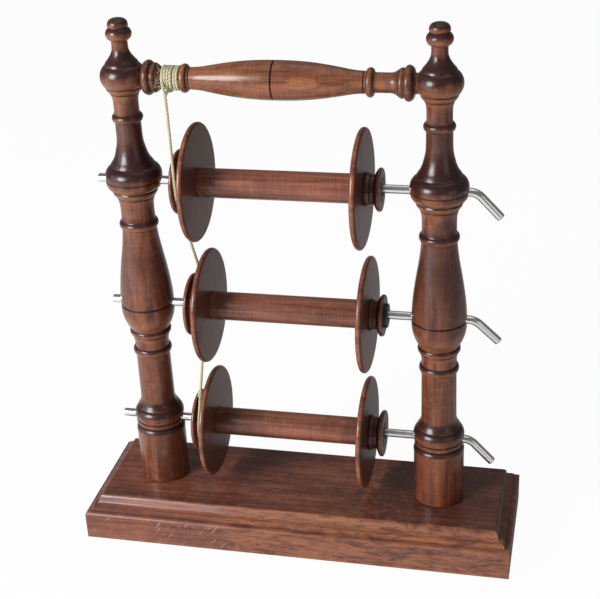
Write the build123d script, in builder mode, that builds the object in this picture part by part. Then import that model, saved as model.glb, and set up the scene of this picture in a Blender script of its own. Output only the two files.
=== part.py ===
from build123d import *
from math import acos, asin, atan2, cos, degrees, pi, radians, sin
import os

# Lazy kate: a turned rack that holds three bobbins while their yarns are plied together.
# Millimetres, +X along the board towards the handles of the rods, +Y to the back, +Z up.
# The origin is the middle of the board's underside.

os.makedirs("parts", exist_ok=True)

# Board
board_length = 308.0
board_width = 97.5
board_thickness = 31.6
board_side = 19.8
moulding_width = 11.0
board_shift = 3.2  # the board's middle stands this far to the right of the posts' middle

# Posts
post_height = 375.2
foot_radius = 17.6
neck_radius = 12.0
pear_radius = 18.7
shoulder_radius = 19.25
throat_radius = 8.3
bulb_radius = 15.1
post_tenon_radius = 12.5
post_tenon_length = 20.0

# Heights: the bar hangs below the tops of the posts, and the rods share out what is left
finial_rise = 38.2  # top of a post above the bar
lower_axle = 80.2
middle_axle_share = 0.3676  # of the rise from the lower rod to the bar
upper_axle_share = 0.7243

# Rods
rod_radius = 2.9
rod_tip_reach = 25.2  # past the middle of the left post
rod_grip_reach = 23.9  # the corner of the bend, past the middle of the right post
rod_grip_length = 23.2
rod_grip_angle = 47.0
rod_bend_radius = 10.5
middle_rod_turn = 10.0  # degrees by which this grip has swung to the back
lower_rod_shift = -2.2  # this rod lies a little further to the left
rod_clearance = 0.08

# Bobbins
bobbin_length = 115.8  # over the outer faces of the two flanges
flange_radius = 40.0
flange_thickness = 3.9
flange_round = 1.8  # of both corners of its rim
core_radius = 9.85
core_bore_radius = 5.2
spigot_radius = 7.0
spigot_length = 6.0
hub_length = 2.4
whorl_radius = 22.6
whorl_groove_radius = 18.4
whorl_groove_offset = 6.4  # from the flange's outer face to the middle of the groove
whorl_length = 11.1
cap_radius = 14.45
lower_cap_radius = 16.6  # this bobbin was given a wider cap
cap_neck_share = 0.69  # of the cap's radius
upper_cap_length = 11.2
middle_cap_length = 9.6
lower_cap_length = 10.6
bush_radius = 7.0
bush_length = 7.6
bush_bore_radius = 3.8
bush_head_radius = 8.4
bush_head_depth = 1.4  # sunk into the wood
bush_head_rise = 0.3  # standing out of it
middle_bush_rise = 2.5  # this one was not pressed home
upper_bobbin_offset = -3.3  # from the posts' middle to each bobbin's own
middle_bobbin_offset = -1.65
lower_bobbin_offset = -4.05

# Turned bar
bar_radius = 12.7
bar_neck_radius = 6.4
bar_collar_radius = 11.45
bar_neck_length = 10.3  # from the end of the bead to the start of the collar
bar_neck_end = 14.6  # from the tenon, to the start of the collar
bar_half_length = 88.2  # to where the nose beyond each collar meets its tenon
bar_tenon_radius = 6.6
bar_tenon_length = 8.8
bar_clearance = 0.08
bar_seat_depth = 0.55  # by which a nose goes past the face of its bulb, round the tenon's hole
bar_shift = -0.6  # the bar's middle from the posts' middle
bar_groove_offset = -1.2  # its groove from its own middle

# Brake cord
cord_radius = 1.0
cord_clearance = 0.3
winding_turns = 5
winding_radius = 7.8
knot_height = 26.9  # over the lower bobbin's axis
knot_radius = 1.9
knot_length = 4.4

# What follows from the sizes above
bar_neck_start = bar_half_length - bar_neck_end - bar_neck_length
post_spacing = 2 * (bar_half_length + bulb_radius - bar_seat_depth)
post_middle = -board_shift
bar_height = post_height - finial_rise
middle_axle = lower_axle + middle_axle_share * (bar_height - lower_axle)
upper_axle = lower_axle + upper_axle_share * (bar_height - lower_axle)
bar_middle = post_middle + bar_shift
left_post_x = post_middle - post_spacing / 2
right_post_x = post_middle + post_spacing / 2
bobbin_hang = bush_bore_radius - rod_radius - 0.1
bobbin_half = bobbin_length / 2
flange_inner = bobbin_half - flange_thickness
hub_inner = flange_inner - hub_length


class Lathe:
    """Draws half of a turned outline inside a BuildLine: x runs along the work, y is the radius."""

    def __init__(self, x, radius):
        self.at = (x, radius)

    def line(self, x, radius):
        """A straight cut to the given place and radius."""
        Line(self.at, (x, radius))
        self.at = (x, radius)

    def curve(self, x, radius, bulge):
        """One arc to the given place, rounded outwards by the bulge or hollowed by a negative one."""
        SagittaArc(self.at, (x, radius), bulge)
        self.at = (x, radius)

    def bead(self, length, rise):
        """A rounded ridge that ends at the radius where it began."""
        self.curve(self.at[0] + length, self.at[1], rise)

    def vee(self, width, depth):
        """A fine line cut with the corner of the chisel."""
        x, radius = self.at
        self.line(x + width / 2, radius - depth)
        self.line(x + width, radius)

    def flow(self, slope_in, slope_out, *points):
        """A long smooth curve through the points, with the slopes at which it starts and ends."""
        Spline(self.at, *points, tangents=((1, slope_in), (1, slope_out)))
        self.at = points[-1]


# ---------------------------------------------------------------- board
def moulded_section(span):
    """Section through the board: square below, an ogee and a small step above, the same both sides."""
    edge = span / 2
    top = edge - moulding_width
    with BuildLine() as outline:
        Line((0, 0), (edge, 0))
        Line((edge, 0), (edge, board_side))
        SagittaArc((edge, board_side), (edge - 1.2, board_side + 1.2), -0.35)
        Line((edge - 1.2, board_side + 1.2), (edge - 3.6, board_side + 1.9))
        Line((edge - 3.6, board_side + 1.9), (edge - 3.9, board_side + 4.0))
        Line((edge - 3.9, board_side + 4.0), (edge - 5.2, board_side + 5.0))
        SagittaArc((edge - 5.2, board_side + 5.0), (edge - 8.9, board_thickness - 4.2), 0.7)
        SagittaArc((edge - 8.9, board_thickness - 4.2), (top, board_thickness), -0.6)
        Line((top, board_thickness), (0, board_thickness))
        mirror(about=Plane.YZ)
    return outline.edges()


with BuildPart() as base_board:
    with BuildSketch(Plane.XZ):
        make_face(moulded_section(board_length))
    extrude(amount=board_width, both=True)
    with BuildSketch(Plane.YZ):
        make_face(moulded_section(board_width))
    extrude(amount=board_length, both=True, mode=Mode.INTERSECT)
    with Locations((left_post_x, 0, board_thickness), (right_post_x, 0, board_thickness)):
        Hole(post_tenon_radius, depth=post_tenon_length)
base_board.part.label = "base_board"
export_step(base_board.part, "parts/base_board.step")


# ---------------------------------------------------------------- posts
def post_outline():
    """Half outline of a post, from the end of its tenon up to the button on its finial."""
    with BuildLine() as outline:
        cut = Lathe(board_thickness - post_tenon_length, 0)
        # tenon and foot
        cut.line(board_thickness - post_tenon_length, post_tenon_radius)
        cut.line(board_thickness, post_tenon_radius)
        cut.line(board_thickness, foot_radius - 1.6)
        cut.curve(board_thickness + 1.6, foot_radius, 0.45)
        # rounded top of the foot, a thin bead and the torus, then a hollow down to the neck
        cut.line(lower_axle - 10.3, foot_radius)
        cut.curve(lower_axle - 5.0, foot_radius - 1.2, 0.75)
        cut.line(lower_axle - 4.2, foot_radius - 2.4)
        cut.line(lower_axle - 3.5, foot_radius - 1.0)
        cut.curve(lower_axle - 0.2, foot_radius - 0.6, 0.45)
        cut.vee(0.9, 0.7)
        cut.curve(lower_axle + 9.3, foot_radius - 2.1, 1.5)
        cut.line(lower_axle + 9.8, foot_radius - 2.9)
        cut.line(lower_axle + 10.5, foot_radius - 2.3)
        cut.curve(lower_axle + 19.3, neck_radius + 0.2, -0.9)
        # neck with a bead
        cut.line(middle_axle - 40.4, neck_radius)
        cut.bead(6.0, 1.7)
        cut.line(middle_axle - 32.6, neck_radius + 0.1)
        # ring and pear
        cut.curve(middle_axle - 25.6, neck_radius + 1.2, -0.45)
        cut.vee(0.6, 0.3)
        cut.curve(middle_axle - 20.6, neck_radius + 2.1, 0.95)
        cut.line(middle_axle - 20.1, neck_radius + 1.6)
        cut.line(middle_axle - 18.2, neck_radius + 2.4)
        cut.curve(middle_axle - 1.0, pear_radius - 0.15, 1.4)
        cut.vee(1.7, 0.9)
        cut.flow(
            0,
            -0.06,
            (middle_axle + 15.4, pear_radius - 1.1),
            (middle_axle + 35.4, pear_radius - 4.05),
            (upper_axle - 34.6, neck_radius - 0.2),
        )
        cut.bead(5.6, 1.6)
        cut.line(upper_axle - 28.2, neck_radius - 0.6)
        cut.line(upper_axle - 20.4, neck_radius - 0.6)
        # two rings and the shoulder that carries the upper rod
        cut.curve(upper_axle - 12.2, neck_radius + 0.7, -0.35)
        cut.vee(0.6, 0.3)
        cut.curve(upper_axle - 7.4, neck_radius + 3.4, 0.5)
        cut.line(upper_axle - 6.4, neck_radius + 3.0)
        cut.line(upper_axle - 4.8, shoulder_radius - 1.9)
        cut.curve(upper_axle + 0.5, shoulder_radius - 0.25, 0.55)
        cut.vee(0.9, 0.55)
        cut.curve(upper_axle + 10.2, shoulder_radius - 4.1, 1.55)
        cut.line(upper_axle + 10.5, shoulder_radius - 4.7)
        cut.line(upper_axle + 11.1, shoulder_radius - 4.5)
        cut.line(upper_axle + 12.2, shoulder_radius - 4.95)
        cut.flow(
            -0.85,
            0,
            (upper_axle + 16.0, shoulder_radius - 7.4),
            (upper_axle + 21.8, shoulder_radius - 9.25),
            (bar_height - 30.0, throat_radius + 0.3),
        )
        cut.bead(5.6, 1.75)
        cut.line(bar_height - 23.0, throat_radius)
        cut.line(bar_height - 17.0, throat_radius)
        # ring, the bulb that carries the bar, and the finial
        cut.curve(bar_height - 10.6, throat_radius + 1.3, -0.35)
        cut.vee(0.5, 0.3)
        cut.curve(bar_height - 6.4, bulb_radius - 2.9, 0.5)
        cut.line(bar_height - 5.9, bulb_radius - 3.3)
        cut.line(bar_height - 5.5, bulb_radius - 2.3)
        cut.curve(bar_height + 8.0, bulb_radius - 3.2, 2.75)
        cut.line(bar_height + 8.3, bulb_radius - 3.75)
        cut.curve(bar_height + 11.3, bulb_radius - 5.6, 0.3)
        cut.flow(-0.85, 0, (bar_height + 14.6, bulb_radius - 8.0), (bar_height + 20.5, 5.3))
        cut.line(post_height - 13.9, 5.3)
        cut.curve(post_height - 6.0, 6.6, 2.55)
        cut.line(post_height - 5.2, 6.1)
        cut.line(post_height - 4.8, 6.7)
        cut.line(post_height - 3.6, 6.7)
        cut.curve(post_height, 3.9, 0.75)
        cut.line(post_height, 0)
        cut.line(board_thickness - post_tenon_length, 0)
    return outline.edges()


def turned_post(x, inward):
    """A post at x, with its rod holes and, on the inward side of the bulb, the blind hole for the bar."""
    bar_hole_end = post_spacing / 2 - bar_half_length - bar_tenon_length - 1.2
    with BuildPart() as post:
        with BuildSketch(Plane((x, 0, 0), x_dir=(0, 0, 1), z_dir=(0, 1, 0))):
            make_face(post_outline())
        revolve(axis=Axis((x, 0, 0), (0, 0, 1)))
        with BuildSketch(Plane((x, 0, 0), x_dir=(0, 1, 0), z_dir=(1, 0, 0))):
            with Locations((0, lower_axle), (0, middle_axle), (0, upper_axle)):
                Circle(rod_radius + rod_clearance)
        extrude(amount=2 * shoulder_radius, both=True, mode=Mode.SUBTRACT)
        with BuildSketch(Plane((x + inward * bar_hole_end, 0, bar_height), z_dir=(inward, 0, 0))):
            Circle(bar_tenon_radius + bar_clearance)
        extrude(amount=2 * bulb_radius, mode=Mode.SUBTRACT)
    return post


left_post = turned_post(left_post_x, 1)
left_post.part.label = "left_post"
export_step(left_post.part, "parts/left_post.step")

right_post = turned_post(right_post_x, -1)
right_post.part.label = "right_post"
export_step(right_post.part, "parts/right_post.step")


# ---------------------------------------------------------------- turned bar
with BuildPart() as top_bar:
    with BuildSketch(Plane((bar_middle, 0, bar_height), x_dir=(1, 0, 0), z_dir=(0, -1, 0))):
        with BuildLine():
            cut = Lathe(0, bar_radius)
            cut.flow(
                0,
                0,
                (bar_neck_start - 36.3, bar_radius - 1.45),
                (bar_neck_start - 18.3, bar_radius - 4.3),
                (bar_neck_start - 7.3, bar_neck_radius + 0.8),
            )
            cut.vee(0.9, 0.5)
            cut.line(bar_neck_start - 5.5, bar_neck_radius + 0.8)
            cut.curve(bar_neck_start - 0.5, bar_neck_radius + 0.3, 2.45)
            cut.line(bar_neck_start, bar_neck_radius)
            cut.line(bar_half_length - bar_neck_end, bar_neck_radius)
            cut.curve(bar_half_length - 10.2, bar_collar_radius - 2.85, -0.4)
            cut.line(bar_half_length - 9.8, bar_collar_radius - 3.1)
            cut.curve(bar_half_length - 6.7, bar_collar_radius - 2.2, 0.85)
            cut.line(bar_half_length - 6.3, bar_collar_radius - 2.2)
            cut.curve(bar_half_length - 3.7, bar_collar_radius, 0.58)
            cut.curve(bar_half_length, bar_tenon_radius + 0.4, 1.15)
            cut.line(bar_half_length, bar_tenon_radius)
            cut.line(bar_half_length + bar_tenon_length, bar_tenon_radius)
            cut.line(bar_half_length + bar_tenon_length, 0)
            cut.line(0, 0)
            mirror(about=Plane.YZ)
        make_face()
        with Locations((bar_groove_offset, bar_radius)):
            RegularPolygon(1.1, 3, rotation=-90, mode=Mode.SUBTRACT)
    revolve(axis=Axis((post_middle, 0, bar_height), (1, 0, 0)))
top_bar.part.label = "top_bar"
export_step(top_bar.part, "parts/top_bar.step")


# ---------------------------------------------------------------- rods
def bent_rod(height, shift, turn):
    """A rod through both posts, bent down at its right end to make a grip."""
    tip = (left_post_x - rod_tip_reach + shift, 0, height)
    corner = (right_post_x + rod_grip_reach + shift, 0, height)
    grip = Vector(rod_grip_length, 0, 0).rotate(Axis.Y, rod_grip_angle).rotate(Axis.X, turn)
    with BuildPart() as rod:
        with BuildLine():
            FilletPolyline(tip, corner, Vector(*corner) + grip, radius=rod_bend_radius)
        with BuildSketch(Plane(tip, z_dir=(1, 0, 0))):
            Circle(rod_radius)
        sweep()
        ends = rod.faces().filter_by(GeomType.PLANE)
        fillet(ends.edges(), radius=0.9)
    return rod


def export_rod(name, height, shift=0.0, turn=0.0):
    """Makes one rod and writes it."""
    rod = bent_rod(height, shift, turn)
    rod.part.label = name
    export_step(rod.part, f"parts/{name}.step")


export_rod("upper_rod", upper_axle)
export_rod("middle_rod", middle_axle, turn=middle_rod_turn)
export_rod("lower_rod", lower_axle, shift=lower_rod_shift)


# ---------------------------------------------------------------- bobbins
def end_plane(centre, outward):
    """Drawing plane of a bobbin's end: x runs outwards from the bobbin's middle, y is the radius."""
    return Plane(centre, x_dir=(outward, 0, 0), z_dir=(0, -outward, 0))


def end_bore(cut, end):
    """Finishes an end's outline through its bore: seat of the bush, bore and spigot socket."""
    seat = end - bush_head_depth
    cut.line(end, bush_head_radius)
    cut.line(seat, bush_head_radius)
    cut.line(seat, bush_radius)
    cut.line(seat - bush_length, bush_radius)
    cut.line(seat - bush_length, core_bore_radius)
    cut.line(hub_inner + spigot_length, core_bore_radius)
    cut.line(hub_inner + spigot_length, spigot_radius)
    cut.line(hub_inner, spigot_radius)
    cut.line(hub_inner, core_radius - 0.35)


def flange_outline(cut):
    """The hub and the flange with its rounded rim, ending on the flange's outer face."""
    cut.line(hub_inner + 0.35, core_radius)
    cut.line(flange_inner, core_radius)
    cut.line(flange_inner, flange_radius - flange_round)
    cut.curve(flange_inner + flange_round, flange_radius, 0.29 * flange_round)
    cut.line(bobbin_half - flange_round, flange_radius)
    cut.curve(bobbin_half, flange_radius - flange_round, 0.29 * flange_round)


def drive_end(centre, end):
    """Left end of a bobbin: its flange and the grooved whorl that the brake cord runs on."""
    groove = bobbin_half + whorl_groove_offset
    with BuildPart() as piece:
        with BuildSketch(end_plane(centre, -1)):
            with BuildLine():
                cut = Lathe(hub_inner, core_radius - 0.35)
                flange_outline(cut)
                cut.line(bobbin_half, whorl_radius - 1.2)
                cut.line(groove - 3.4, whorl_radius - 0.9)
                cut.line(groove - 1.2, whorl_groove_radius + 0.5)
                cut.curve(groove + 1.2, whorl_groove_radius + 0.5, -0.5)
                cut.line(groove + 2.5, whorl_radius - 0.9)
                cut.curve(end, whorl_radius - 1.9, 0.55)
                end_bore(cut, end)
            make_face()
        revolve(axis=Axis(centre, (1, 0, 0)))
    return piece


def cap_end(centre, radius, end):
    """Right end of a bobbin: its flange and the small flared cap."""
    neck = radius * cap_neck_share
    with BuildPart() as piece:
        with BuildSketch(end_plane(centre, 1)):
            with BuildLine():
                cut = Lathe(hub_inner, core_radius - 0.35)
                flange_outline(cut)
                cut.line(bobbin_half, neck + 0.8)
                cut.curve(end - 7.6, neck + 0.6, 0.25)
                cut.line(end - 7.0, neck)
                cut.line(end - 4.7, neck)
                cut.line(end - 4.4, neck + 0.5)
                cut.curve(end - 2.2, radius - 0.3, 0.25)
                cut.curve(end, radius - 0.6, 0.35)
                end_bore(cut, end)
            make_face()
        revolve(axis=Axis(centre, (1, 0, 0)))
    return piece


def bobbin_core(centre):
    """The tube that the yarn is wound on, with a spigot into the hub at each end."""
    with BuildPart() as piece:
        with BuildSketch(end_plane(centre, 1)):
            with BuildLine():
                cut = Lathe(0, core_radius)
                cut.line(hub_inner - 0.35, core_radius)
                cut.line(hub_inner, core_radius - 0.35)
                cut.line(hub_inner, spigot_radius)
                cut.line(hub_inner + spigot_length, spigot_radius)
                cut.line(hub_inner + spigot_length, core_bore_radius)
                cut.line(0, core_bore_radius)
                mirror(about=Plane.YZ)
            make_face()
        revolve(axis=Axis(centre, (1, 0, 0)))
    return piece


def bush(centre, outward, end, rise):
    """A headed plastic sleeve pressed into an end, loose on the rod."""
    seat = end - bush_head_depth
    face = end + rise
    with BuildPart() as piece:
        with BuildSketch(end_plane(centre, outward)):
            with BuildLine():
                cut = Lathe(seat - bush_length, bush_bore_radius)
                cut.line(seat - bush_length, bush_radius)
                cut.line(seat, bush_radius)
                cut.line(seat, bush_head_radius)
                cut.line(face - 0.4, bush_head_radius)
                cut.line(face, bush_head_radius - 0.4)
                cut.line(face, bush_bore_radius + 0.5)
                cut.line(face - 0.5, bush_bore_radius)
                cut.line(seat - bush_length, bush_bore_radius)
            make_face()
        revolve(axis=Axis(centre, (1, 0, 0)))
    return piece


def export_bobbin(place, offset, axle, radius, cap_length, rise):
    """Makes the five pieces of one bobbin, hanging on its rod."""
    centre = (post_middle + offset, 0, axle - bobbin_hang)
    left_end = bobbin_half + whorl_length
    right_end = bobbin_half + cap_length
    pieces = {
        "drive_end": drive_end(centre, left_end),
        "cap_end": cap_end(centre, radius, right_end),
        "core": bobbin_core(centre),
        "drive_bush": bush(centre, -1, left_end, bush_head_rise),
        "cap_bush": bush(centre, 1, right_end, rise),
    }
    for kind, piece in pieces.items():
        piece.part.label = f"{place}_{kind}"
        export_step(piece.part, f"parts/{place}_{kind}.step")
    return centre


upper_bobbin = export_bobbin(
    "upper", upper_bobbin_offset, upper_axle, cap_radius, upper_cap_length, bush_head_rise
)
middle_bobbin = export_bobbin(
    "middle", middle_bobbin_offset, middle_axle, cap_radius, middle_cap_length, middle_bush_rise
)
lower_bobbin = export_bobbin(
    "lower", lower_bobbin_offset, lower_axle, lower_cap_radius, lower_cap_length, bush_head_rise
)


# ---------------------------------------------------------------- brake cord
# It leaves the winding on the bar, passes in front of the upper whorl, behind the middle one and in
# front of the lower one, and is tied back to itself round that whorl.
groove_reach = bobbin_half + whorl_groove_offset
lay_radius = whorl_groove_radius + cord_clearance + cord_radius
winding_length = bar_half_length - bar_neck_end - bar_neck_start
winding_start = bar_middle - bar_half_length + bar_neck_end
leave_reach = winding_radius + cord_clearance + cord_radius

with BuildPart() as brake_cord_winding:
    with BuildSketch(Plane((0, 0, bar_height), x_dir=(1, 0, 0), z_dir=(0, -1, 0))):
        with BuildLine():
            cut = Lathe(winding_start, bar_neck_radius)
            cut.line(winding_start, winding_radius - 0.6)
            for turn in range(winding_turns):
                cut.bead(winding_length / winding_turns, 0.6)
            cut.line(winding_start + winding_length, bar_neck_radius)
            cut.line(winding_start, bar_neck_radius)
        make_face()
    revolve(axis=Axis((post_middle, 0, bar_height), (1, 0, 0)))
brake_cord_winding.part.label = "brake_cord_winding"
export_step(brake_cord_winding.part, "parts/brake_cord_winding.step")


def run_tilt(offset_a, height_a, offset_b, height_b):
    """Tilt of the straight run that passes two axes at these offsets, front negative."""
    return asin((offset_a - offset_b) / (height_b - height_a))


def beside(x, height, offset, tilt, stretch=1.0):
    """Point at an offset from an axis, on the side that the tilt faces."""
    reach = offset * stretch
    return (x, reach * cos(tilt), height + reach * sin(tilt))


def turn_corner(bobbin, offset, tilt_in, tilt_out):
    """Corner of the two straight runs that both touch one whorl's lay circle."""
    stretch = 1 / cos((tilt_in - tilt_out) / 2)
    return beside(bobbin[0] - groove_reach, bobbin[2], offset, (tilt_in + tilt_out) / 2, stretch)


tilt_top = run_tilt(-leave_reach, bar_height, -lay_radius, upper_bobbin[2])
tilt_mid = run_tilt(-lay_radius, upper_bobbin[2], lay_radius, middle_bobbin[2])
tilt_low = run_tilt(lay_radius, middle_bobbin[2], -lay_radius, lower_bobbin[2])

noose_x = lower_bobbin[0] - groove_reach
knot_y = (-lay_radius - knot_height * sin(tilt_low)) / cos(tilt_low)
knot = Vector(noose_x, knot_y, lower_bobbin[2] + knot_height)
leave_point = beside(winding_start + 2 * cord_radius, bar_height, -leave_reach, tilt_top)
upper_corner = turn_corner(upper_bobbin, -lay_radius, tilt_top, tilt_mid)
middle_corner = turn_corner(middle_bobbin, lay_radius, tilt_mid, tilt_low)

with BuildPart() as brake_cord_knot:
    along = (Vector(middle_corner) - knot).normalized()
    with BuildSketch(Plane(knot, x_dir=along, z_dir=along.cross(Vector(1, 0, 0)))):
        with BuildLine():
            cut = Lathe(-knot_length / 2, 0)
            cut.line(-knot_length / 2, cord_radius)
            cut.curve(knot_length / 2, cord_radius, knot_radius - cord_radius)
            cut.line(knot_length / 2, 0)
            cut.line(-knot_length / 2, 0)
        make_face()
    revolve(axis=Axis(knot, along))
brake_cord_knot.part.label = "brake_cord_knot"
export_step(brake_cord_knot.part, "parts/brake_cord_knot.step")

with BuildPart() as brake_cord:
    with BuildLine() as route:
        FilletPolyline(leave_point, upper_corner, middle_corner, tuple(knot), radius=lay_radius)
    with BuildSketch(Plane(route.line @ 0, z_dir=route.line % 0)):
        Circle(cord_radius)
    sweep()
    add(brake_cord_knot.part, mode=Mode.SUBTRACT)
brake_cord.part.label = "brake_cord"
export_step(brake_cord.part, "parts/brake_cord.step")

# Round the lower whorl, from the knot to the front, under, up the back and over to the knot again.
knot_angle = atan2(knot_height, knot_y)
knot_spread = acos(lay_radius / (knot_height**2 + knot_y**2) ** 0.5)
front_angle = knot_angle + knot_spread
back_angle = knot_angle - knot_spread + 2 * pi


def on_lay(angle):
    """Point of the lower whorl's lay circle, with the angle taken from the back towards the top."""
    return Vector(noose_x, lay_radius * cos(angle), lower_bobbin[2] + lay_radius * sin(angle))


with BuildPart() as brake_cord_noose:
    with BuildLine() as loop:
        front_leg = (on_lay(front_angle) - knot).normalized() * 1.5
        back_leg = (on_lay(back_angle) - knot).normalized() * 1.5
        Line(knot + front_leg, on_lay(front_angle))
        ThreePointArc(on_lay(front_angle), on_lay((front_angle + back_angle) / 2), on_lay(back_angle))
        Line(on_lay(back_angle), knot + back_leg)
    with BuildSketch(Plane(loop.line @ 0, z_dir=loop.line % 0)):
        Circle(cord_radius)
    sweep()
    add(brake_cord_knot.part, mode=Mode.SUBTRACT)
brake_cord_noose.part.label = "brake_cord_noose"
export_step(brake_cord_noose.part, "parts/brake_cord_noose.step")

section = pi * cord_radius**2
for label, cord, length in (
    ("brake_cord", brake_cord.part, route.wires()[0].length),
    ("brake_cord_noose", brake_cord_noose.part, loop.wires()[0].length),
):
    print(label, "lay radius", round(lay_radius, 2), "length", round(length, 1))
    print("  volume", round(cord.volume, 1), "section x length", round(section * length, 1))
print("wrap of the noose", round(degrees(back_angle - front_angle)), "degrees")
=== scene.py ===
"""Dresses a lazy kate: a turned rack whose three bobbins feed yarn for plying, with a cord brake."""

import logging
import math
import random
from dataclasses import dataclass, field
from enum import Enum
from typing import Any, Iterable, Sequence, Union

import bmesh
import bpy
from mathutils import Matrix, Vector


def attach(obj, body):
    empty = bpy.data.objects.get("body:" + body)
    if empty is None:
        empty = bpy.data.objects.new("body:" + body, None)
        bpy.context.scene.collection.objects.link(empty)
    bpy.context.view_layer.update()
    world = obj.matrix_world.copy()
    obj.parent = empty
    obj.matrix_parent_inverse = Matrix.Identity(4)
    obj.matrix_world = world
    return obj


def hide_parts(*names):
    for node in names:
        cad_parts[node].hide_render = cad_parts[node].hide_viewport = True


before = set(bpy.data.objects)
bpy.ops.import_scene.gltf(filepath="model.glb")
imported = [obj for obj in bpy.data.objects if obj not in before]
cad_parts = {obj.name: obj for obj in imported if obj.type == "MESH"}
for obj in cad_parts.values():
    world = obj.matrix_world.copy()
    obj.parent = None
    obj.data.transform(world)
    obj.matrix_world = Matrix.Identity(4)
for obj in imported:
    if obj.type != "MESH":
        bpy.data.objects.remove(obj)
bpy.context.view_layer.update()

log = logging.getLogger("lazy_kate")

MM = 0.001
PLACES = ("upper", "middle", "lower")
SEAM_GAP = 0.000002  # vertices closer than this are one, in metres
HOLLOW_SAMPLES = 6
Colour = tuple[float, float, float]
Place = tuple[float, float, float]
Band = tuple[float, float]


class Grain(Enum):
    """Direction in which the fibres of a wooden piece run."""

    ALONG_BOARD = "x"
    UPRIGHT = "z"


# ---------------------------------------------------------------- shader maths
class Wire:
    """A socket that takes part in Python arithmetic; each operation adds its Math node."""

    def __init__(self, shader: "Shader", socket: bpy.types.NodeSocket) -> None:
        """Wraps one output socket of a shader."""
        self.shader = shader
        self.socket = socket

    def _math(self, operation: str, first: Any, second: Any) -> "Wire":
        """Adds one Math node.

        Args:
            operation: The node's operation.
            first: Value or wire of its first socket.
            second: Value or wire of its second socket.

        Returns:
            The node's result.
        """
        return self.shader.node("ShaderNodeMath", {"operation": operation}, {0: first, 1: second})

    def __add__(self, other: Any) -> "Wire":
        """Sum."""
        return self._math("ADD", self, other)

    __radd__ = __add__

    def __sub__(self, other: Any) -> "Wire":
        """Difference."""
        return self._math("SUBTRACT", self, other)

    def __rsub__(self, other: Any) -> "Wire":
        """Difference, reversed."""
        return self._math("SUBTRACT", other, self)

    def __mul__(self, other: Any) -> "Wire":
        """Product."""
        return self._math("MULTIPLY", self, other)

    __rmul__ = __mul__

    def clamped(self) -> "Wire":
        """The value held between 0 and 1."""
        return self._math("MAXIMUM", self._math("MINIMUM", self, 1.0), 0.0)

    def step(self, low: float, high: float) -> "Wire":
        """A smooth step from 0 at low to 1 at high."""
        settings = {"interpolation_type": "SMOOTHSTEP"}
        return self.shader.node("ShaderNodeMapRange", settings, {0: self, 1: low, 2: high})


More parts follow.
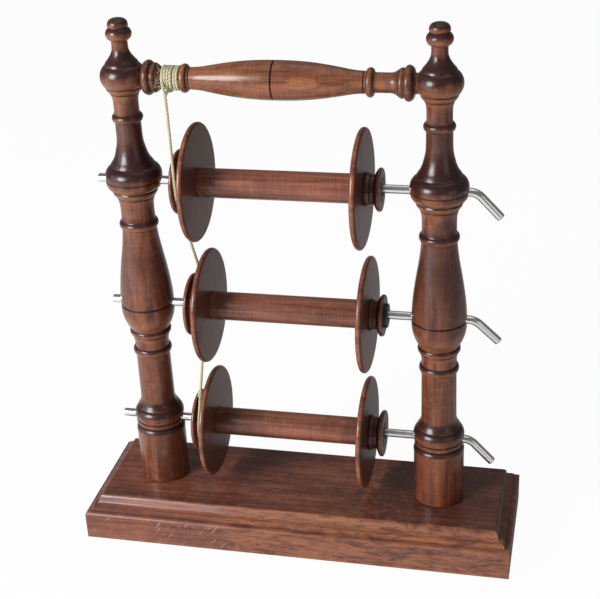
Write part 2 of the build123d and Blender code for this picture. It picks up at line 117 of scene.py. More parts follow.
class Shader:
    """One material's node tree, with the surface shader and its output already joined."""

    def __init__(self, name: str) -> None:
        """Makes an empty material.

        Args:
            name: The material's name.
        """
        self.material = bpy.data.materials.new(name)
        self.material.use_nodes = True
        self.tree = self.material.node_tree
        self.tree.nodes.clear()
        self.output = self.tree.nodes.new("ShaderNodeOutputMaterial")
        self.surface = self.tree.nodes.new("ShaderNodeBsdfPrincipled")
        self.tree.links.new(self.surface.outputs[0], self.output.inputs[0])

    def node(self, kind: str, settings: dict[str, Any], sockets: dict[Any, Any], out: Any = 0) -> Wire:
        """Adds any node.

        Args:
            kind: Blender's name for the node.
            settings: Properties, set before its sockets.
            sockets: Socket names or numbers to values or wires.
            out: Name or number of the output to return.

        Returns:
            The chosen output.
        """
        node = self.tree.nodes.new(kind)
        for key, value in settings.items():
            setattr(node, key, value)
        for key, value in sockets.items():
            self.plug(node.inputs[key], value)
        return Wire(self, node.outputs[out])

    def plug(self, socket: bpy.types.NodeSocket, value: Any) -> None:
        """Links a wire to a socket, or sets the socket's own value."""
        if isinstance(value, Wire):
            self.tree.links.new(value.socket, socket)
        else:
            socket.default_value = value

    def set(self, **sockets: Any) -> None:
        """Feeds the surface shader; underscores in the names stand for spaces."""
        for key, value in sockets.items():
            self.plug(self.surface.inputs[key.replace("_", " ")], value)

    def place(self, scale: Sequence[float] = (1, 1, 1), offset: Sequence[float] = (0, 0, 0)) -> Wire:
        """Object coordinates, stretched and moved.

        Args:
            scale: Factor along each axis.
            offset: Shift along each axis, in metres, before the factor.

        Returns:
            The coordinates.
        """
        coordinates = self.node("ShaderNodeTexCoord", {}, {}, "Object")
        moved = self.vector("ADD", coordinates, tuple(offset))
        return self.vector("MULTIPLY", moved, tuple(scale))

    def vector(self, operation: str, first: Any, second: Any) -> Wire:
        """Adds one Vector Math node."""
        return self.node("ShaderNodeVectorMath", {"operation": operation}, {0: first, 1: second})

    def noise(self, at: Wire, scale: float, detail: float, rough: float, bend: float = 0.0) -> Wire:
        """Noise from 0 to 1.

        Args:
            at: Coordinates.
            scale: Lumps per metre of the coordinates.
            detail: Octaves.
            rough: Weight of the finer octaves.
            bend: Distortion.

        Returns:
            The noise.
        """
        sockets = {"Vector": at, "Scale": scale, "Detail": detail, "Roughness": rough, "Distortion": bend}
        return self.node("ShaderNodeTexNoise", {"normalize": True}, sockets)

    def slope(self, axis: Sequence[float]) -> Wire:
        """How far the surface faces along an axis of its own piece, from -1 to 1."""
        normal = self.node("ShaderNodeTexCoord", {}, {}, "Normal")
        sockets = {0: normal, 1: tuple(axis)}
        return self.node("ShaderNodeVectorMath", {"operation": "DOT_PRODUCT"}, sockets, "Value")

    def facing(self, axis: Sequence[float]) -> Wire:
        """How far the surface faces along an axis either way, from 0, side on, to 1."""
        return self.node("ShaderNodeMath", {"operation": "ABSOLUTE"}, {0: self.slope(axis)})

    def axis(self, name: str) -> Wire:
        """One object coordinate, in metres."""
        coordinates = self.node("ShaderNodeTexCoord", {}, {}, "Object")
        return self.node("ShaderNodeSeparateXYZ", {}, {0: coordinates}, name)

    def patch(self, centre: Sequence[float], reach: Sequence[float], ragged: Wire) -> Wire:
        """A soft-edged patch.

        Args:
            centre: Its middle, in metres.
            reach: Its half sizes, in metres.
            ragged: Noise that breaks its edge up.

        Returns:
            1 inside and 0 outside.
        """
        scale = tuple(1.0 / size for size in reach)
        at = self.place(scale, tuple(-value for value in centre))
        far = self.node("ShaderNodeVectorMath", {"operation": "LENGTH"}, {0: at}, "Value")
        return 1 - (far + (ragged - 0.5) * 1.2).step(0.75, 1.05)

    def hollow(self, reach: float, inside: bool) -> Wire:
        """Openness of the piece round a point: low in a groove, or under a crest when seen from inside.

        Args:
            reach: How far the piece is looked at, in metres.
            inside: Whether it is looked at from under its surface.

        Returns:
            The openness, 0 to 1.
        """
        settings = {"samples": HOLLOW_SAMPLES, "only_local": True, "inside": inside}
        return self.node("ShaderNodeAmbientOcclusion", settings, {"Distance": reach}, "AO")

    def blend(self, share: Any, first: Any, second: Any) -> Wire:
        """Mixes two colours."""
        pad = [value if isinstance(value, Wire) else (*value, 1.0) for value in (first, second)]
        return self.node("ShaderNodeMix", {"data_type": "RGBA"}, {0: share, 6: pad[0], 7: pad[1]}, 2)

    def bump(self, height: Wire, depth: float, strength: float) -> Wire:
        """A Bump node for the Normal socket.

        Args:
            height: The pattern, 0 to 1.
            depth: Its depth in metres.
            strength: The node's strength.

        Returns:
            The normal.
        """
        sockets = {"Strength": strength, "Distance": depth, "Height": height}
        return self.node("ShaderNodeBump", {}, sockets)


# ---------------------------------------------------------------- finishes
@dataclass(frozen=True)
class StainedWood:
    """Close-grained wood under a dark red-brown stain, rubbed through on its crests; painted shade in
    grooves and on upper slopes, painted light on lower ones.

    Scales are in lumps per metre, and reaches and places are in metres.
    """

    name: str
    grain: Grain
    pale: Colour = (0.258, 0.080, 0.037)
    deep: Colour = (0.084, 0.024, 0.013)
    # Dark colour of pores and lathe marks, also used as painted shade in the grooves.
    pore_and_groove_shade: Colour = (0.022, 0.007, 0.006)
    # Colour of rubbed-through crests, also used as painted light on downward slopes.
    worn_and_lit: Colour = (0.380, 0.138, 0.055)
    # Colour of end grain, also used as painted shade on upward slopes and in the shade patches.
    end: Colour = (0.028, 0.010, 0.010)
    end_share: float = 0.80
    worn_share: float = 0.60
    # Share of painted shade on upward slopes.
    painted_top_shade: float = 0.0
    end_varnish: float = 1.0
    marks_share: float = 0.26
    knot_at: Union[Place, None] = None
    knot_reach: Place = (0.0115, 0.0070, 0.0046)
    # Patches of painted shade: centre, half sizes and share.
    shade_patches: tuple[tuple[Place, Place, float], ...] = ()
    ring_pitch: float = 0.009
    streak_scale: float = 460.0
    cloud_scale: float = 42.0
    fibre_scale: float = 1500.0
    blotch_scale: float = 150.0
    marks_scale: float = 1300.0
    crest_reach: float = 0.0035
    groove_reach: float = 0.0045
    # Share of painted shade in the grooves.
    groove_shade: float = 0.74
    gloss: float = 0.30
    sheen: float = 0.17
    varnish: float = 0.62
    varnish_roughness: float = 0.20
    relief_depth: float = 0.00006
    seed: float = 0.0

    def along(self, share: float) -> Colour:
        """Scale that draws a pattern out along the fibres."""
        return (share, 1.0, 1.0) if self.grain is Grain.ALONG_BOARD else (1.0, 1.0, share)

    def across(self, share: float) -> Colour:
        """Scale that draws a pattern out across the fibres, as the lathe does."""
        return (1.0, share, share) if self.grain is Grain.ALONG_BOARD else (share, share, 1.0)

    def shift(self) -> Colour:
        """Offset that gives each wood its own figure."""
        return (self.seed * 0.31, self.seed * 0.17, self.seed * 0.23)

    def figure(self, shader: Shader) -> Wire:
        """Colour of the bare figure, before wear and grime.

        Args:
            shader: The wood's shader.

        Returns:
            The colour.
        """
        ringed = shader.place(self.along(0.06), self.shift())
        rings = shader.noise(ringed, 1.0 / self.ring_pitch, 4.0, 0.55, 1.2)
        streaked = shader.place(self.along(0.02), self.shift())
        streaks = shader.noise(streaked, self.streak_scale, 4.0, 0.62)
        share = (rings * 0.6 + streaks * 0.4).step(0.36, 0.62)
        colour = shader.blend(share, self.deep, self.pale)
        clouded = shader.place(self.along(0.45), self.shift())
        cloud = shader.noise(clouded, self.cloud_scale, 3.0, 0.6).step(0.42, 0.66)
        return shader.blend(cloud * 0.55, colour, self.deep)

    def knot(self, shader: Shader, colour: Wire) -> Wire:
        """Draws the rings round a small knot under the stain.

        Args:
            shader: The wood's shader.
            colour: The figure that they cross.

        Returns:
            The colour with the rings.
        """
        if self.knot_at is None:
            return colour
        ragged = shader.noise(shader.place((0.5, 1.0, 1.0), self.shift()), 120.0, 2.0, 0.5)
        for size, ring in ((1.0, self.worn_and_lit), (0.80, self.pale), (0.58, self.worn_and_lit), (0.40, self.pale)):
            reach = tuple(side * size for side in self.knot_reach)
            inside = shader.patch(self.knot_at, reach, ragged * 0.5 + 0.25)
            colour = shader.blend(inside * 0.60, colour, ring)
        return colour

    def material(self) -> bpy.types.Material:
        """Builds the wood.

        Returns:
            The material.
        """
        shader = Shader(self.name)
        fibres = shader.noise(shader.place(self.along(0.02), self.shift()), self.fibre_scale, 2.0, 0.6)
        blotch = shader.noise(shader.place((1, 1, 1), self.shift()), self.blotch_scale, 3.0, 0.6)
        pores = 1 - fibres.step(0.33, 0.46)
        marks = shader.noise(shader.place(self.across(0.05), self.shift()), self.marks_scale, 3.0, 0.6)
        end = shader.facing((1, 0, 0) if self.grain is Grain.ALONG_BOARD else (0, 0, 1)).step(0.30, 0.85)
        crest = (1 - shader.hollow(self.crest_reach, True)).step(0.10, 0.50)
        # Ambient occlusion: where shade falls in the grooves; feeds painted shade and roughness.
        groove = (1 - shader.hollow(self.groove_reach, False)).step(0.12, 0.60)
        colour = self.knot(shader, self.figure(shader))
        colour = shader.blend(blotch.step(0.48, 0.72) * 0.30, colour, self.worn_and_lit)
        colour = shader.blend(marks.step(0.46, 0.66) * self.marks_share, colour, self.pore_and_groove_shade)
        colour = shader.blend(pores * 0.45, colour, self.pore_and_groove_shade)
        colour = shader.blend(end * self.end_share, colour, self.end)
        # Painted shade on upward slopes and painted light on downward slopes.
        if self.painted_top_shade:
            lean = shader.slope((0, 0, 1)) + (blotch - 0.5) * 0.25
            colour = shader.blend(lean.step(0.06, 0.34) * self.painted_top_shade, colour, self.end)
            colour = shader.blend((0 - lean).step(0.04, 0.40) * 0.40, colour, self.worn_and_lit)
        # Painted shade patches.
        for centre, reach, share in self.shade_patches:
            colour = shader.blend(shader.patch(centre, reach, blotch) * share, colour, self.end)
        colour = shader.blend(crest * blotch.step(0.34, 0.62) * self.worn_share, colour, self.worn_and_lit)
        # Painted shade in the grooves.
        colour = shader.blend(groove * self.groove_shade, colour, self.pore_and_groove_shade)
        relief = fibres * 0.5 + blotch * 0.5 - pores * 0.5
        shader.set(
            Base_Color=colour,
            Roughness=(self.gloss + 0.10 * blotch + 0.10 * pores + 0.15 * groove).clamped(),
            Specular_IOR_Level=self.sheen,
            Coat_Weight=self.varnish * (1 - end * (1.0 - self.end_varnish)),
            Coat_Roughness=self.varnish_roughness,
            Normal=shader.bump(relief, self.relief_depth, 0.45),
        )
        return shader.material


@dataclass(frozen=True)
class BoardWood(StainedWood):
    """The board's wood, with flecks at its front's left end, a rubbed, mottled look along the rest and a
    painted highlight on its moulding.

    Each band gives the two coordinates, in metres, between which its region sets in.
    """

    rubbed: Colour = (0.370, 0.142, 0.060)
    umber: Colour = (0.052, 0.022, 0.016)
    plum: Colour = (0.092, 0.032, 0.024)
    fleck: Colour = (0.500, 0.250, 0.190)
    # Colour of the painted highlight on the moulding.
    painted_highlight: Colour = (0.430, 0.250, 0.220)
    front_band: Band = (-0.0388, -0.0364)
    right_band: Band = (-0.062, -0.038)
    moulding_band: Band = (0.0200, 0.0225)
    top_band: Band = (0.0308, 0.0314)
    crown_bands: tuple[Band, Band] = ((0.0262, 0.0275), (0.0300, 0.0313))
    lip_bands: tuple[Band, Band] = ((0.0194, 0.0199), (0.0208, 0.0213))
    fleck_angle: float = 48.0
    fleck_scale: float = 560.0

    @staticmethod
    def between(shader: Shader, rise: Band, fall: Band) -> Wire:
        """A strip of heights that sets in over one band and ends over another."""
        height = shader.axis("Z")
        return height.step(*rise) * (1 - height.step(*fall))

    def figure(self, shader: Shader) -> Wire:
        """Adds the mottled front and the flecks to the bare figure.

        Args:
            shader: The wood's shader.

        Returns:
            The colour.
        """
        colour = super().figure(shader)
        ragged = shader.noise(shader.place((0.5, 1.0, 1.0), self.shift()), 75.0, 4.0, 0.6)
        front = 1 - (shader.axis("Y") + (ragged - 0.5) * 0.005).step(*self.front_band)
        right = (shader.axis("X") + (ragged - 0.5) * 0.09).step(*self.right_band)
        mottle = shader.noise(shader.place((0.20, 1.0, 1.0), self.shift()), 300.0, 5.0, 0.72, 0.9)
        moulding = shader.axis("Z").step(*self.moulding_band)
        wear = mottle.step(0.42, 0.60) * 0.55 + moulding * 0.22
        colour = shader.blend(front * right * wear, colour, self.rubbed)
        colour = shader.blend(front * right * (1 - mottle.step(0.38, 0.50)) * 0.72, colour, self.plum)
        top = shader.axis("Z").step(*self.top_band)
        clouds = shader.noise(shader.place((0.55, 1.0, 1.0), self.shift()), 68.0, 5.0, 0.70, 0.6)
        colour = shader.blend(top * clouds.step(0.50, 0.66) * 0.42, colour, self.umber)
        colour = shader.blend(top * (1 - clouds.step(0.36, 0.48)) * 0.30, colour, self.rubbed)
        # Painted highlight along the moulding's crown and lip, weaker towards the right end.
        highlight_rims = self.between(shader, *self.crown_bands) + self.between(shader, *self.lip_bands)
        colour = shader.blend(front * (1 - right * 0.8) * highlight_rims * 0.50, colour, self.painted_highlight)
        turned = {"Vector": shader.place(), "Angle": math.radians(self.fleck_angle)}
        slanted = shader.node("ShaderNodeVectorRotate", {"rotation_type": "Y_AXIS"}, turned)
        drawn = shader.vector("MULTIPLY", slanted, (0.12, 0.3, 1.0))
        lines = shader.noise(drawn, self.fleck_scale, 2.0, 0.5).step(0.61, 0.68)
        return shader.blend(front * (1 - right) * (1 - moulding) * lines * 0.55, colour, self.fleck)


@dataclass(frozen=True)
class DrawnSteel:
    """Bare bright rod with fine marks along its length."""

    name: str
    colour: Colour = (0.82, 0.81, 0.80)
    dull: Colour = (0.55, 0.54, 0.53)
    roughness: float = 0.17
    marks_scale: float = 2600.0
    tarnish_scale: float = 90.0

    def material(self) -> bpy.types.Material:
        """Builds the steel.

        Returns:
            The material.
        """
        shader = Shader(self.name)
        marks = shader.noise(shader.place((0.03, 1.0, 1.0)), self.marks_scale, 3.0, 0.6)
        tarnish = shader.noise(shader.place(), self.tarnish_scale, 3.0, 0.6).step(0.48, 0.80)
        shader.set(
            Base_Color=shader.blend(tarnish * 0.5, self.colour, self.dull),
            Metallic=1.0,
            Roughness=(self.roughness + 0.10 * marks + 0.08 * tarnish).clamped(),
            Normal=shader.bump(marks, 0.00001, 0.10),
        )
        return shader.material


@dataclass(frozen=True)
class MouldedPlastic:
    """Black plastic with a fine satin grain."""

    name: str
    colour: Colour = (0.022, 0.021, 0.021)
    dusty: Colour = (0.09, 0.08, 0.07)
    grain_scale: float = 1800.0
    dust_scale: float = 260.0

    def material(self) -> bpy.types.Material:
        """Builds the plastic.

        Returns:
            The material.
        """
        shader = Shader(self.name)
        grain = shader.noise(shader.place(), self.grain_scale, 2.0, 0.5)
        dust = shader.noise(shader.place(), self.dust_scale, 3.0, 0.6).step(0.52, 0.78)
        shader.set(
            Base_Color=shader.blend(dust * 0.25, self.colour, self.dusty),
            Roughness=0.36 + 0.14 * grain,
            Normal=shader.bump(grain, 0.00003, 0.3),
        )
        return shader.material


@dataclass(frozen=True)
class LinenCord:
    """Pale unbleached linen with darker flecks."""

    name: str
    pale: Colour = (0.59, 0.56, 0.37)
    shade: Colour = (0.40, 0.37, 0.20)
    bleached: Colour = (0.66, 0.63, 0.48)
    fibre_scale: float = 2400.0
    tone_scale: float = 240.0

    def material(self) -> bpy.types.Material:
        """Builds the linen.

        Returns:
            The material.
        """
        shader = Shader(self.name)
        fibre = shader.noise(shader.place(), self.fibre_scale, 3.0, 0.65)
        tone = shader.noise(shader.place(), self.tone_scale, 2.0, 0.5).step(0.30, 0.70)
        colour = shader.blend(fibre.step(0.30, 0.60), self.shade, self.pale)
        colour = shader.blend(tone * 0.35, colour, self.bleached)
        shader.set(
            Base_Color=colour,
            Roughness=0.82,
            Sheen_Weight=0.25,
            Sheen_Roughness=0.5,
            Normal=shader.bump(fibre, 0.00012, 0.6),
        )
        return shader.material


# ---------------------------------------------------------------- shared making
def smooth_cad(node: str, angle: float = 28.0) -> bpy.types.Object:
    """Shades a frame node smoothly without touching its vertices.

    Args:
        node: The node's name.
        angle: Edges sharper than this, in degrees, stay crisp.

    Returns:
        The node's object.
    """
    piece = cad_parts[node]
    for polygon in piece.data.polygons:
        polygon.use_smooth = True
    weld = piece.modifiers.new("merge seams", "WELD")
    weld.merge_threshold = SEAM_GAP
    split = piece.modifiers.new("crisp edges", "EDGE_SPLIT")
    split.split_angle = math.radians(angle)
    return piece


def dress(piece: bpy.types.Object, material: bpy.types.Material) -> None:
    """Gives a piece one material all over."""
    piece.data.materials.clear()
    piece.data.materials.append(material)


# ---------------------------------------------------------------- sub-assemblies
@dataclass
class Rack:
    """The board, its two posts and the turned bar."""

    board: StainedWood = field(
        default_factory=lambda: BoardWood(
            "board_wood",
            Grain.ALONG_BOARD,
            pale=(0.252, 0.086, 0.053),
            deep=(0.108, 0.035, 0.024),
            end_share=0.45,
            end_varnish=0.0,
            sheen=0.24,
            marks_share=0.0,
            # Painted shade on the top at the board's right end.
            shade_patches=(((0.11, 0.0, 0.034), (0.07, 0.05, 0.012), 0.45),),
            gloss=0.24,
            varnish=0.62,
            seed=1.0,
        )
    )
    post: StainedWood = field(
        default_factory=lambda: StainedWood(
            "post_wood",
            Grain.UPRIGHT,
            # Painted shade on the posts' upward slopes, painted light on their downward ones.
            painted_top_shade=0.85,
            # Painted shade below both bulbs, and on the right post's lower part.
            shade_patches=(
                ((-0.106, 0.0, 0.288), (0.05, 0.05, 0.026), 0.62),
                ((0.0995, 0.0, 0.288), (0.05, 0.05, 0.026), 0.62),
                ((0.0995, 0.0, 0.205), (0.05, 0.05, 0.050), 0.35),
            ),
            seed=2.0,
        )
    )
    bar: StainedWood = field(
        default_factory=lambda: StainedWood(
            "bar_wood",
            Grain.ALONG_BOARD,
            pale=(0.332, 0.120, 0.053),
            deep=(0.150, 0.048, 0.023),
            # Painted shade at both ends of the bar, beside the posts.
            shade_patches=(
                ((-0.086, 0.0, 0.337), (0.014, 0.05, 0.05), 0.50),
                ((0.078, 0.0, 0.337), (0.014, 0.05, 0.05), 0.30),
            ),
            knot_at=(0.0145, -0.0134, 0.3389),
            # Share of painted shade in the bar's grooves.
            groove_shade=0.22,
            seed=3.0,
        )
    )

    def build(self) -> None:
        """Dresses the four wooden pieces of the rack."""
        for node, wood in (
            ("base_board", self.board),
            ("left_post", self.post),
            ("right_post", self.post),
            ("top_bar", self.bar),
        ):
            dress(smooth_cad(node), wood.material())
            log.info("dressed %s", node)


@dataclass
class Bobbins:
    """Three bobbins and the rods that they hang on."""

    wood: StainedWood = field(
        default_factory=lambda: StainedWood(
            "bobbin_wood",
            Grain.ALONG_BOARD,
            pale=(0.325, 0.108, 0.060),
            deep=(0.120, 0.037, 0.024),
            end=(0.086, 0.030, 0.018),
            worn_share=0.40,
            end_varnish=0.05,
            gloss=0.27,
            varnish=0.80,
            # Painted shade in the cap necks, on the whorls and at the cores' ends beside the flanges.
            shade_patches=(
                ((0.0545, 0.0, 0.265), (0.0062, 0.05, 0.03), 0.72),
                ((0.0560, 0.0, 0.174), (0.0060, 0.05, 0.03), 0.72),
                ((0.0535, 0.0, 0.079), (0.0062, 0.05, 0.03), 0.72),
                ((-0.0740, 0.0, 0.170), (0.0110, 0.05, 0.20), 0.35),
                ((-0.0420, 0.0, 0.079), (0.0200, 0.05, 0.03), 0.45),
                ((0.0420, 0.0, 0.079), (0.0120, 0.05, 0.03), 0.35),
                ((-0.0560, 0.0, 0.220), (0.0160, 0.05, 0.09), 0.35),
            ),
            seed=4.0,
        )
    )
    steel: DrawnSteel = field(default_factory=lambda: DrawnSteel("rod_steel"))
    plastic: MouldedPlastic = field(default_factory=lambda: MouldedPlastic("bush_plastic"))

    def build(self) -> None:
        """Dresses every bobbin's five pieces and its rod."""
        wood = self.wood.material()
        steel = self.steel.material()
        plastic = self.plastic.material()
        for place in PLACES:
            for kind, material in (
                ("drive_end", wood),
                ("cap_end", wood),
                ("core", wood),
                ("drive_bush", plastic),
                ("cap_bush", plastic),
                ("rod", steel),
            ):
                dress(smooth_cad(f"{place}_{kind}"), material)
            log.info("dressed the %s bobbin", place)


class Rope:
    """Makes three-strand cord along a route given as the control points of a smooth curve."""

    strands = 3
    strand_share = 0.50  # of the cord's radius, for a strand's own radius and its distance from the middle
    steps_per_lay = 14

    def __init__(self, radius: float, lay: float) -> None:
        """Sets the cord's size.

        Args:
            radius: Outer radius of the cord, in metres.
            lay: Length in which a strand goes once round, in metres.
        """
        self.lay = lay
        self.strand_radius = radius * self.strand_share
        self.strand_offset = radius * self.strand_share

    @staticmethod
    def curve(
        name: str, lines: Sequence[Sequence[Vector]], kind: str, bevel: float = 0.0
    ) -> bpy.types.Object:
        """Makes a curve object with one spline for each line of points.

        Args:
            name: The object's name.
            lines: The points of each spline.
            kind: NURBS for control points, POLY for points on the line itself.
            bevel: Radius of the tube round each line, or 0 for a bare line.

        Returns:
            The curve object.
        """
        data = bpy.data.curves.new(name, "CURVE")
        data.dimensions = "3D"
        data.resolution_u = 12
        data.bevel_depth = bevel
        data.bevel_resolution = 2
        data.use_fill_caps = bevel > 0
        for line in lines:
            spline = data.splines.new(kind)
            spline.points.add(len(line) - 1)
            for point, place in zip(spline.points, line):
                point.co = (*place, 1.0)
            if kind == "NURBS":
                spline.order_u = 3
                spline.use_endpoint_u = True
        piece = bpy.data.objects.new(name, data)
        bpy.context.scene.collection.objects.link(piece)
        return piece

    @staticmethod
    def mesh(curve: bpy.types.Object) -> bpy.types.Mesh:
        """Turns a curve object into a mesh and removes the curve."""
        bpy.context.view_layer.update()
        shaped = curve.evaluated_get(bpy.context.evaluated_depsgraph_get())
        data = bpy.data.meshes.new_from_object(shaped)
        bpy.data.objects.remove(curve)
        return data

    def route(self, points: Iterable[Sequence[float]]) -> list[Vector]:
        """Reads the smooth line that the control points give.

        Args:
            points: Control points, in millimetres.

        Returns:
            Places along the line, in metres.
        """
        control = [Vector(point) * MM for point in points]
        line = self.mesh(self.curve("route", [control], "NURBS"))
        places = [vertex.co.copy() for vertex in line.vertices]
        bpy.data.meshes.remove(line)
        return places

    @staticmethod
    def even(line: Sequence[Vector], step: float) -> list[Vector]:
        """Spaces places evenly along a line."""
        places = [line[0].copy()]
        left = step
        for start, end in zip(line, line[1:]):
            run = (end - start).length
            done = 0.0
            while run - done > left:
                done += left
                places.append(start.lerp(end, done / run))
                left = step
            left -= run - done
        places.append(line[-1].copy())
        return places

    def lay_up(self, name: str, line: Sequence[Vector]) -> bpy.types.Object:
        """Twists the strands round a line.

        Args:
            name: The piece's name.
            line: Places along the cord's middle.

        Returns:
            The cord as a mesh.
        """
        places = self.even(line, self.lay / self.steps_per_lay)
        ahead = (places[1] - places[0]).normalized()
        side = ahead.orthogonal().normalized()
        threads: list[list[Vector]] = [[] for _ in range(self.strands)]
        turned = 0.0
        for index, place in enumerate(places):
            after = places[min(index + 1, len(places) - 1)]
            before = places[max(index - 1, 0)]
            ahead = (after - before).normalized()
            side = (side - ahead * side.dot(ahead)).normalized()
            across = ahead.cross(side)
            if index:
                turned += (place - places[index - 1]).length / self.lay * math.tau
            for number, thread in enumerate(threads):
                angle = turned + math.tau * number / self.strands
                outward = side * math.cos(angle) + across * math.sin(angle)
                thread.append(place + outward * self.strand_offset)
        mesh = self.mesh(self.curve(name, threads, "POLY", self.strand_radius))
        for polygon in mesh.polygons:
            polygon.use_smooth = True
        piece = bpy.data.objects.new(name, mesh)
        bpy.context.scene.collection.objects.link(piece)
        return piece

    @staticmethod
    def length(line: Sequence[Vector]) -> float:
        """Length of a line of places, in metres."""
        return sum((end - start).length for start, end in zip(line, line[1:]))


@dataclass
class BrakeCord:
    """The linen cord that runs from the bar round the bobbins' whorls and holds them back.

    Its sizes and places are in millimetres, and its angles in degrees.
    """

    finish: LinenCord = field(default_factory=lambda: LinenCord("cord"))
    radius: float = 1.1
    thin_radius: float = 0.99
    lay: float = 7.0
    bar_z: float = 337.0
    winding_left: float = -76.4
    winding_pitch: float = 1.86
    winding_turns: int = 5
    winding_radius: float = 7.05
    hitch_left: float = -77.3
    hitch_right: float = -73.0
    hitch_radius: float = 7.5
    hitch_rise: float = 0.9
    apex: Place = (-74.9, -10.2, 328.9)
    whorl_x: float = -70.5
    whorl_z: float = 79.4
    noose_radius: float = 19.4
    noose_from: float = 155.33
    noose_to: float = 422.90
    knot: Place = (-70.3, -9.32, 106.3)
    knot_radius: float = 0.85
    hairs: int = 10
    hair_radius: float = 0.07
    run: tuple[Place, ...] = (
        (-77.30, -7.55, 338.35),
        (-76.50, -9.10, 333.00),
        (-74.90, -10.20, 328.90),
        (-71.80, -17.91, 278.85),
        (-70.80, -20.37, 262.36),
        (-70.52, -13.19, 247.29),
        (-69.49, 13.19, 191.92),
        (-69.15, 21.75, 173.95),
        (-69.60, 13.45, 155.88),
        (-70.30, -9.32, 106.30),
    )

    def build(self) -> None:
        """Makes the winding, the run, the noose and the knot."""
        material = self.finish.material()
        rope = Rope(self.radius * MM, self.lay * MM)
        for piece in (self.tie(), self.frayed_end()):
            dress(piece, material)
            log.info("made %s", piece.name)
        thin = Rope(self.thin_radius * MM, self.lay * MM)
        for maker, laid in (
            (self.winding, thin),
            (self.hitch, rope),
            (self.long_run, rope),
            (self.noose, thin),
        ):
            piece = maker(laid)
            dress(piece, material)
            log.info("laid up %s", piece.name)

    def winding(self, rope: Rope) -> bpy.types.Object:
        """Winds the close turns round the bar."""
        steps = 14
        total = self.winding_turns * steps
        control = self.winding_radius / math.cos(math.pi / steps) ** 2 + 0.02
        points = []
        for number in range(total + 1):
            angle = math.pi + math.tau * number / steps
            share = min(max(1.25 * number / total - 0.125, 0.0), 1.0)
            sway = 0.14 * math.sin(3.1 * angle) + 0.34 * math.tanh(14 * (share - 0.63))
            x = self.winding_left + self.winding_pitch * (0.5 + (self.winding_turns - 1) * share) + sway
            points.append((x, -control * math.cos(angle), self.bar_z + control * math.sin(angle)))
        line = rope.route(points)
        piece = rope.lay_up("winding_rope", line)
        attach(piece, "bar")
        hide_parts("brake_cord_winding")
        log.info("winding %.1f mm", rope.length(line) / MM)
        return piece

    def hitch(self, rope: Rope) -> bpy.types.Object:
        """Throws the loop that holds the winding, over the bar and back under it to the run."""
        points = [(self.hitch_left, -7.55, self.bar_z + 1.35)]
        for degree in range(25, 301, 25):
            angle = math.radians(degree)
            late = min(max((degree - 190) / 100, 0.0), 1.0)
            late = late * late * (3 - 2 * late)
            reach = self.hitch_radius + self.hitch_rise * min(late * 2.2, 1.0)
            x = self.hitch_left + (self.hitch_right - self.hitch_left) * late
            points.append((x, -reach * math.cos(angle), self.bar_z + reach * math.sin(angle)))
        points.append((self.apex[0] + 0.3, self.apex[1] + 1.1, self.apex[2] + 1.5))
        points.append((self.apex[0] + 0.1, self.apex[1] + 0.1, self.apex[2] - 0.9))
        line = rope.route(points)
        piece = rope.lay_up("hitch_rope", line)
        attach(piece, "frame")
        log.info("hitch %.1f mm", rope.length(line) / MM)
        return piece

    def tie(self) -> bpy.types.Object:
        """Ties the knot: a few close wraps round the strand, drawn tight."""
        rope = Rope(self.knot_radius * MM, self.lay * MM)
        start, end = Vector(self.run[-2]), Vector(self.knot)
        ahead = (end - start).normalized()
        side = ahead.orthogonal().normalized()
        across = ahead.cross(side)
        steps, turns, rise = 12, 3, 1.75
        points = []
        for number in range(steps * turns + 1):
            share = number / (steps * turns)
            angle = math.tau * number / steps
            swell = 0.75 + 0.55 * math.sin(math.pi * share)
            place = end + ahead * rise * turns * (share - 0.45)
            points.append(place + (side * math.cos(angle) + across * math.sin(angle)) * swell)
        piece = rope.lay_up("knot_rope", rope.route(points))
        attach(piece, "frame")
        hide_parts("brake_cord_knot")
        return piece

    def frayed_end(self) -> bpy.types.Object:
        """Teases out the loose fibres at the end of the winding."""
        chance = random.Random(7)
        hairs = []
        for _ in range(self.hairs):
            angle = math.radians(chance.uniform(-30, 60))
            twist = math.radians(chance.uniform(-35, 35))
            out = chance.uniform(2.0, 6.0)
            points = []
            for share in (0.0, 0.3, 0.65, 1.0):
                turned = angle + twist * share * share
                reach = 7.7 + 1.5 * share + chance.uniform(0.0, 0.5) * share
                x = self.hitch_left - 0.3 - out * share + chance.uniform(-0.4, 0.4) * share
                y = -reach * math.cos(turned)
                points.append(Vector((x, y, self.bar_z + reach * math.sin(turned))) * MM)
            hairs.append(points)
        mesh = Rope.mesh(Rope.curve("frayed_end", hairs, "NURBS", self.hair_radius * MM))
        piece = bpy.data.objects.new("frayed_end", mesh)
        bpy.context.scene.collection.objects.link(piece)
        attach(piece, "frame")
        return piece

    def long_run(self, rope: Rope) -> bpy.types.Object:
        """Stretches the cord from the bar to the knot."""
        line = rope.route(self.run)
        piece = rope.lay_up("run_rope", line)
        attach(piece, "frame")
        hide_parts("brake_cord")
        log.info("run %.1f mm", rope.length(line) / MM)
        return piece

    def noose(self, rope: Rope) -> bpy.types.Object:
        """Passes the cord's loop round the lowest whorl."""
        steps = 16
        control = self.noose_radius / math.cos(math.pi / steps) ** 2 + 0.05
        first, last = math.radians(self.noose_from), math.radians(self.noose_to)
        points = [self.knot]
        count = round((last - first) / (math.tau / steps))
        for number in range(count + 1):
            angle = first + (last - first) * number / count
            y, z = control * math.cos(angle), control * math.sin(angle)
            points.append((self.whorl_x, y, self.whorl_z + z))
        points.append(self.knot)
        line = rope.route(points)
        piece = rope.lay_up("noose_rope", line)
        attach(piece, "frame")
        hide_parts("brake_cord_noose")
        log.info("noose %.1f mm", rope.length(line) / MM)
        return piece


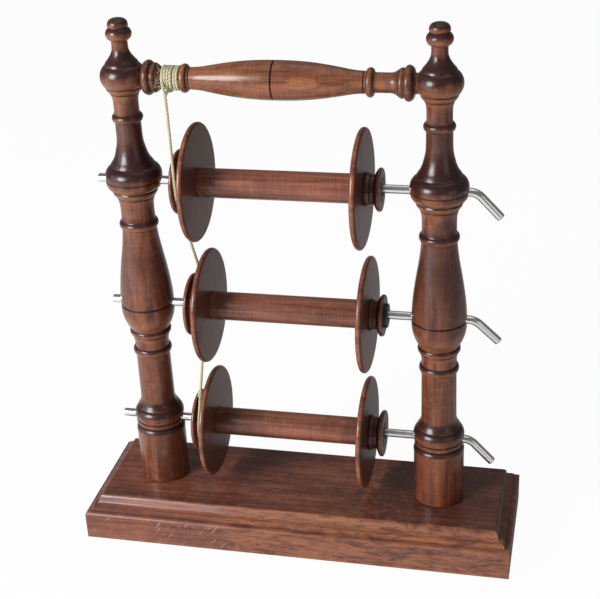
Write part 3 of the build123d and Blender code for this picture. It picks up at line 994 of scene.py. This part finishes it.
@dataclass
class Studio:
    """Floor, backdrop, lamps and camera."""

    eye: Place = (0.19454, -0.77520, 0.58656)
    turn: float = 0.2407
    tilt: float = 0.4689
    roll: float = -0.0513
    lens: float = 78.58
    backdrop: Colour = (1.0, 1.0, 1.0)
    surround: float = 0.205
    floor_half: float = 6.0
    floor_glow: float = 0.96
    aim: Place = (0.0, 0.0, 0.18)

    def build(self) -> None:
        """Sets up everything that isn't part of the rack."""
        self.camera()
        self.floor()
        self.world()
        self.lamp("key softbox", (-1.00, -1.15, 0.86), 0.75, 30.0)
        self.lamp("left panel", (-1.55, -0.75, 0.40), 1.3, 6.0)
        self.lamp("right fill", (1.30, -0.90, 0.55), 0.8, 1.6)
        self.lamp("overhead", (0.10, 0.20, 1.60), 1.1, 3.0)
        bpy.context.scene.view_settings.view_transform = "Standard"

    def camera(self) -> None:
        """Places the camera."""
        level = Vector((-math.sin(self.turn), math.cos(self.turn), 0.0))
        right = Vector((math.cos(self.turn), math.sin(self.turn), 0.0))
        up = Vector((0.0, 0.0, 1.0))
        ahead = level * math.cos(self.tilt) - up * math.sin(self.tilt)
        over = up * math.cos(self.tilt) + level * math.sin(self.tilt)
        side = right * math.cos(self.roll) + over * math.sin(self.roll)
        top = over * math.cos(self.roll) - right * math.sin(self.roll)
        data = bpy.data.cameras.new("camera")
        data.sensor_fit = "HORIZONTAL"
        data.sensor_width = 36.0
        data.lens = self.lens
        data.clip_start = 0.01
        camera = bpy.data.objects.new("camera", data)
        bpy.context.scene.collection.objects.link(camera)
        axes = Matrix((side, top, -ahead)).transposed().to_4x4()
        camera.matrix_world = Matrix.Translation(self.eye) @ axes
        bpy.context.scene.camera = camera

    def floor(self) -> None:
        """Lays a wide white floor that shows white to the camera but keeps the shadow."""
        mesh = bmesh.new()
        bmesh.ops.create_grid(mesh, x_segments=1, y_segments=1, size=self.floor_half)
        data = bpy.data.meshes.new("floor")
        mesh.to_mesh(data)
        mesh.free()
        floor = bpy.data.objects.new("floor", data)
        bpy.context.scene.collection.objects.link(floor)
        shader = Shader("white floor")
        shader.set(Base_Color=(0.93, 0.93, 0.93, 1.0), Roughness=0.9)
        glow = shader.node("ShaderNodeEmission", {}, {"Color": (1, 1, 1, 1), "Strength": 1.0})
        seen = shader.node("ShaderNodeLightPath", {}, {}, "Is Camera Ray")
        through = shader.node("ShaderNodeLightPath", {}, {}, "Is Transmission Ray")
        share = (seen * self.floor_glow + through).clamped()
        lit = Wire(shader, shader.surface.outputs[0])
        mixed = shader.node("ShaderNodeMixShader", {}, {0: share, 1: lit, 2: glow})
        shader.plug(shader.output.inputs[0], mixed)
        dress(floor, shader.material)

    def world(self) -> None:
        """A white surround for the camera, and a dim grey one for light and reflections on the object."""
        world = bpy.data.worlds.new("surround")
        world.use_nodes = True
        tree = world.node_tree
        tree.nodes.clear()
        out = tree.nodes.new("ShaderNodeOutputWorld")
        light = tree.nodes.new("ShaderNodeBackground")
        light.inputs["Strength"].default_value = self.surround
        seen = tree.nodes.new("ShaderNodeBackground")
        seen.inputs["Color"].default_value = (*self.backdrop, 1.0)
        path = tree.nodes.new("ShaderNodeLightPath")
        either = tree.nodes.new("ShaderNodeMath")
        either.operation = "MAXIMUM"
        tree.links.new(path.outputs["Is Camera Ray"], either.inputs[0])
        tree.links.new(path.outputs["Is Transmission Ray"], either.inputs[1])
        mix = tree.nodes.new("ShaderNodeMixShader")
        tree.links.new(either.outputs[0], mix.inputs[0])
        tree.links.new(light.outputs[0], mix.inputs[1])
        tree.links.new(seen.outputs[0], mix.inputs[2])
        tree.links.new(mix.outputs[0], out.inputs[0])
        bpy.context.scene.world = world

    def lamp(self, name: str, spot: Place, size: float, power: float) -> None:
        """Hangs one soft square lamp aimed at the rack.

        Args:
            name: The lamp's name.
            spot: Where it hangs, in metres.
            size: Its side, in metres.
            power: Its power, in watts.
        """
        data = bpy.data.lights.new(name, "AREA")
        data.size = size
        data.energy = power
        lamp = bpy.data.objects.new(name, data)
        bpy.context.scene.collection.objects.link(lamp)
        lamp.location = spot
        beam = Vector(self.aim) - Vector(spot)
        lamp.rotation_euler = beam.to_track_quat("-Z", "Y").to_euler()


def main() -> None:
    """Builds the sub-assemblies in order."""
    logging.basicConfig(level=logging.INFO)
    Studio().build()
    Rack().build()
    Bobbins().build()
    BrakeCord().build()


if __name__ == "__main__":
    main()
